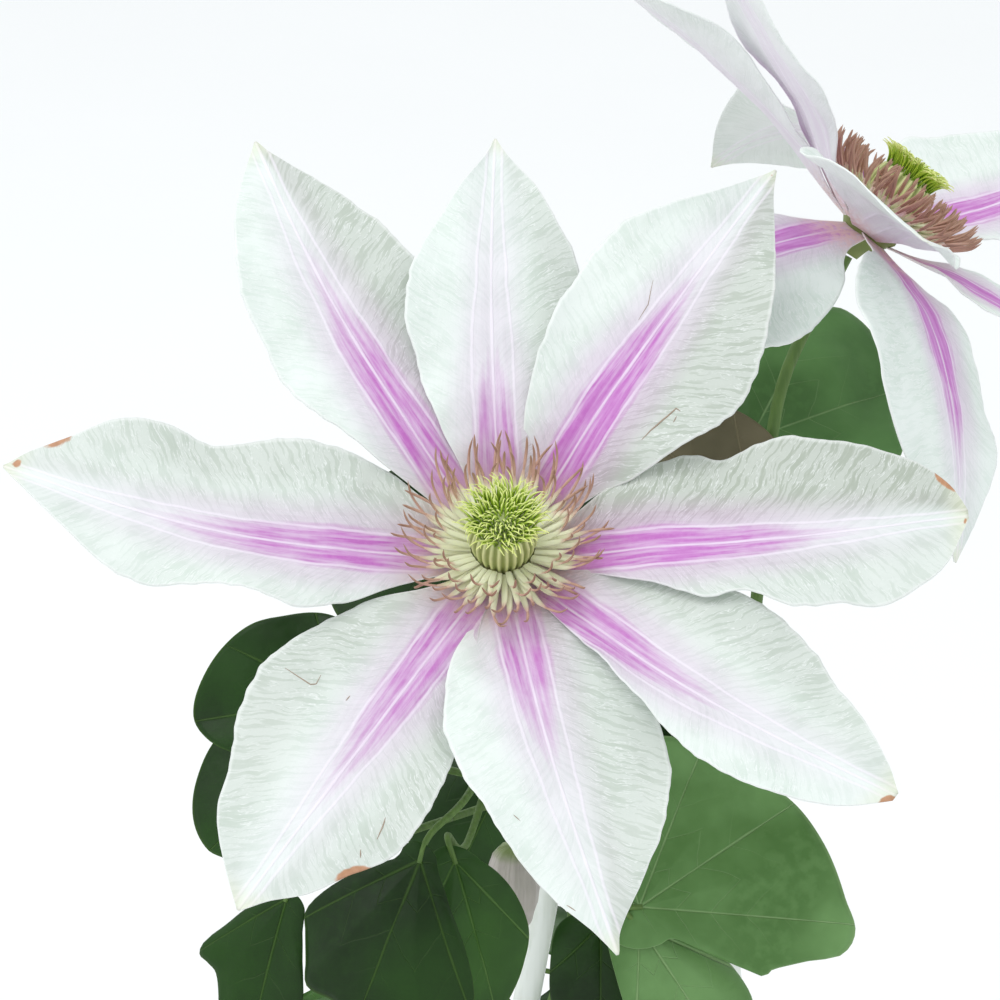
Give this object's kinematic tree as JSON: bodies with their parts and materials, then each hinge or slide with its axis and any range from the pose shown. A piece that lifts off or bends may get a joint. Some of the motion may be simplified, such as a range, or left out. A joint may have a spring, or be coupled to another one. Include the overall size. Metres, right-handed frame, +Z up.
{
  "type": "potted clematis",
  "caption": "Climbing plant in a tapered terracotta pot: leafy stems wind up a cone of slim stakes to open flowers with broad pointed tepals, long anthers and a green centre.",
  "frame": {"origin": "centre of the pot's flat underside, on the surface that the pot stands on", "axes": "+Z up the middle of the pot; -Y is the front, towards which the first bloom leans; +X is to its right"},
  "size_m": [0.2895, 0.2912, 0.6086],
  "materials": {
    "terracotta": "unglazed fired clay, matt",
    "soil": "dark crumbly potting compost, matt; wood stands in for it",
    "stake": "white coated garden stake, satin",
    "stake_cap": "white moulded cap, matt",
    "leaf": "dark green leaf and stem, semi-gloss; leather stands in for plant tissue",
    "bud": "pale closed tepals, silky; leather stands in for plant tissue",
    "tepal": "white tepal with a mauve bar along its midrib, silky; leather stands in for plant tissue",
    "stamen": "cream filament and red-brown anther, matt; leather stands in for plant tissue",
    "pistil": "ribbed green ovaries and lime styles, satin; leather stands in for plant tissue"
  },
  "bodies": {
    "root": {"pot": "terracotta", "soil": "soil", "stake_1": "stake", "stake_2": "stake", "stake_3": "stake", "stake_cap": "stake_cap", "vine_1": "leaf", "vine_2": "leaf", "vine_3": "leaf", "bud_1": "bud", "bud_2": "bud", "bloom_1_tepals": "tepal", "bloom_1_stamens": "stamen", "bloom_1_pistil": "pistil", "bloom_2_tepals": "tepal", "bloom_2_stamens": "stamen", "bloom_2_pistil": "pistil"}
  },
  "joints": []
}
